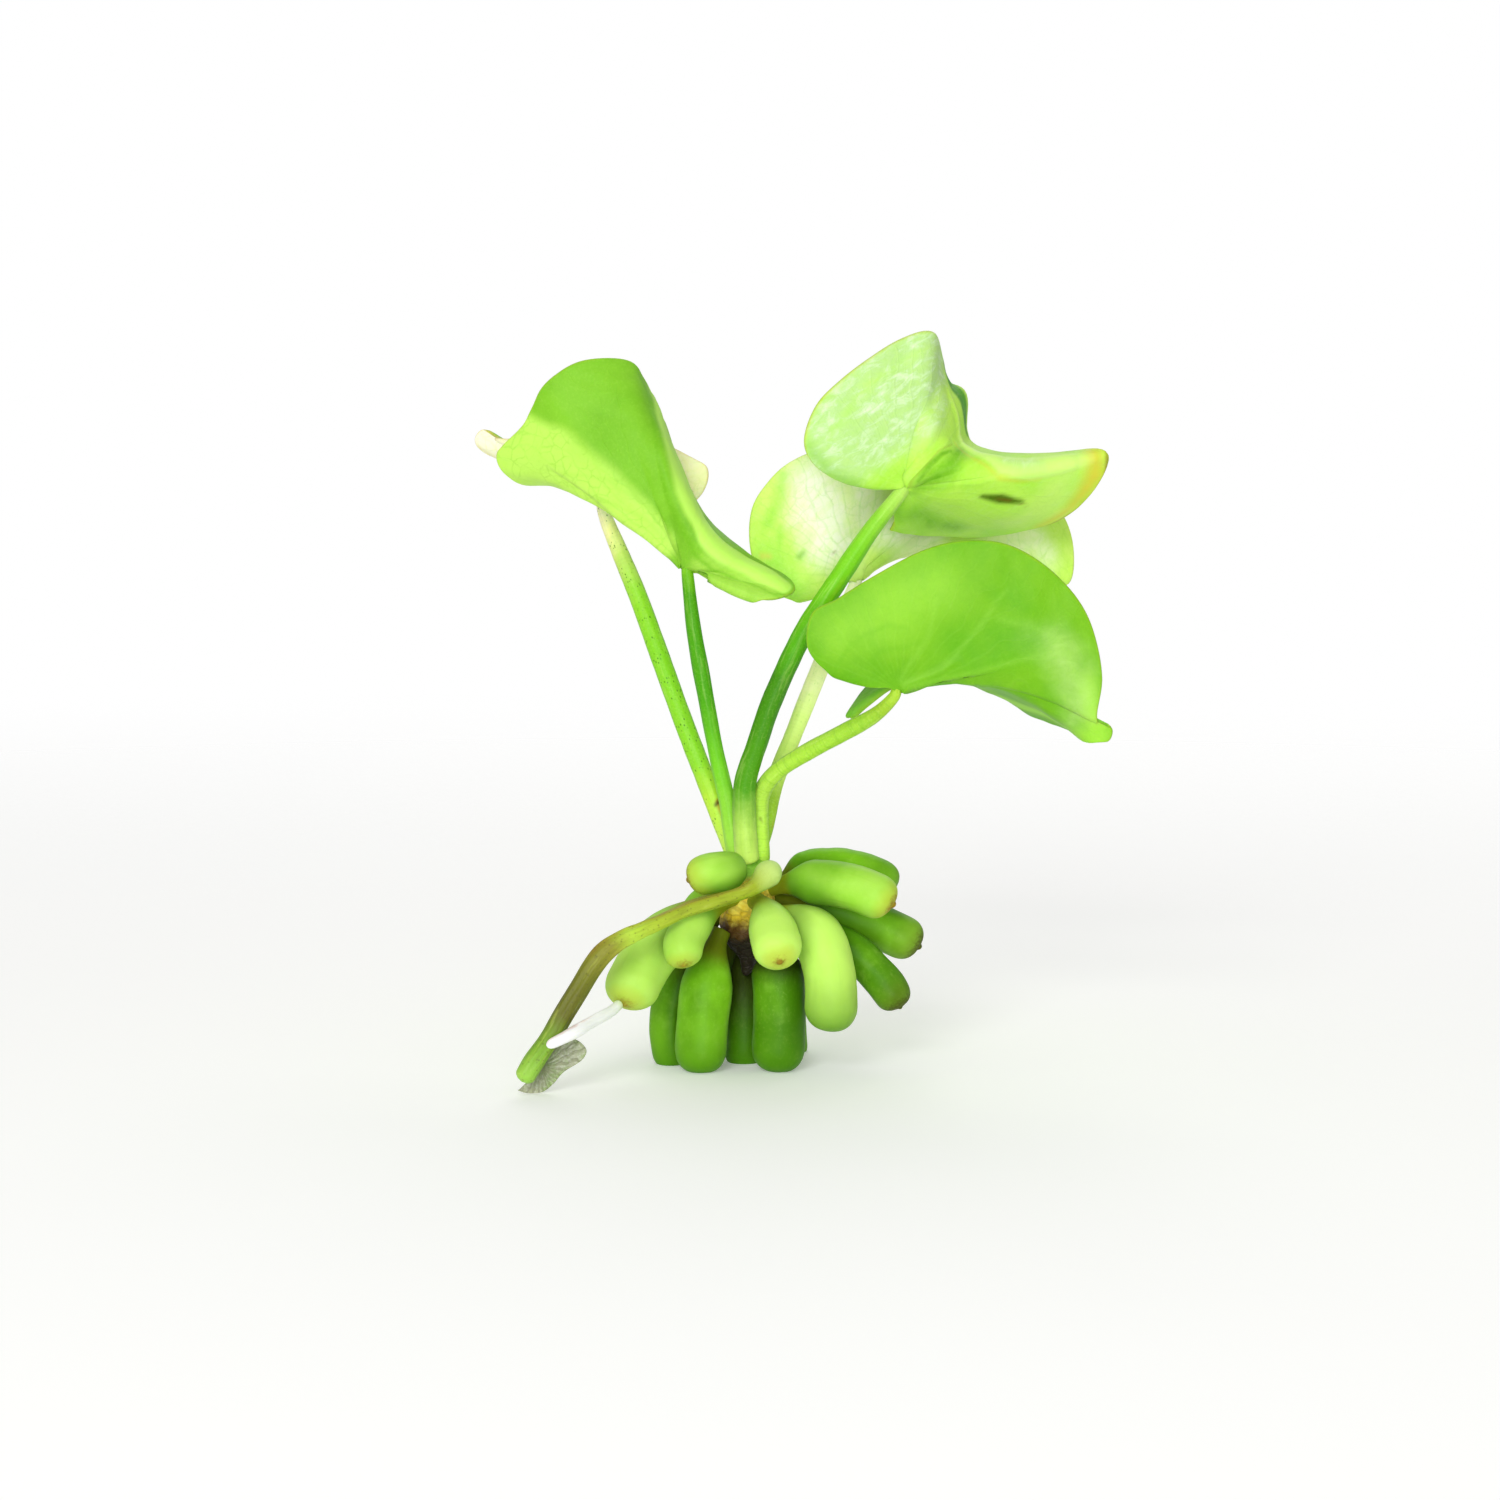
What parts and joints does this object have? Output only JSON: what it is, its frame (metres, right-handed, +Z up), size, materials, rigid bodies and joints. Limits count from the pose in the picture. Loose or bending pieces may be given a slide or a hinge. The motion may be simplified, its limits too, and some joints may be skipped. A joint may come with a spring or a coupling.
{
  "type": "banana lily plant",
  "caption": "Aquarium lily standing on a bunch of banana-shaped tubers, with folded heart-shaped leaves on slender stalks and a spent stalk trailing to the ground.",
  "frame": {"origin": "on the surface the plant stands on, under the middle of its bounding box", "axes": "+Z up along the leaf stalks, -Y to the front, where the undersides of the folded blades show, +X to the right seen from the front"},
  "size_m": [0.0919, 0.0643, 0.1041],
  "materials": {
    "leaf_green": "satin, veined, bright green underside",
    "leaf_pale": "satin, pale cream green, thin",
    "stalk_green": "smooth, slightly glossy, fine speckles",
    "tuber_green": "smooth, slightly glossy, brown tip",
    "crown_ochre": "rough, ochre brown",
    "spent_olive": "dull olive brown, grooved",
    "withered_grey": "thin, wet, see-through grey",
    "root_white": "smooth, waxy white"
  },
  "bodies": {
    "root": {"leaf_back_left": "leaf_pale", "leaf_back_right": "leaf_green", "leaf_front_left": "leaf_green", "leaf_front_right": "leaf_green", "leaf_upper_right": "leaf_green", "rootstock": "crown_ochre", "spent_stalk": "spent_olive", "stalk_back_left": "stalk_green", "stalk_back_right": "stalk_green", "stalk_front_left": "stalk_green", "stalk_front_right": "stalk_green", "stalk_upper_right": "stalk_green", "tuber_back_left": "tuber_green", "tuber_back_low": "tuber_green", "tuber_back_low_left": "tuber_green", "tuber_back_middle": "tuber_green", "tuber_back_right": "tuber_green", "tuber_back_side": "tuber_green", "tuber_front_low": "tuber_green", "tuber_front_middle": "tuber_green", "tuber_left_front": "tuber_green", "tuber_left_low": "tuber_green", "tuber_left_small": "tuber_green", "tuber_left_upper": "tuber_green", "tuber_middle_low": "tuber_green", "tuber_right_end": "tuber_green", "tuber_right_front": "tuber_green", "tuber_right_low": "tuber_green", "tuber_right_lower": "tuber_green", "tuber_right_side": "tuber_green", "tuber_right_upper": "tuber_green", "withered_sheath": "withered_grey", "young_root": "root_white"}
  },
  "joints": []
}
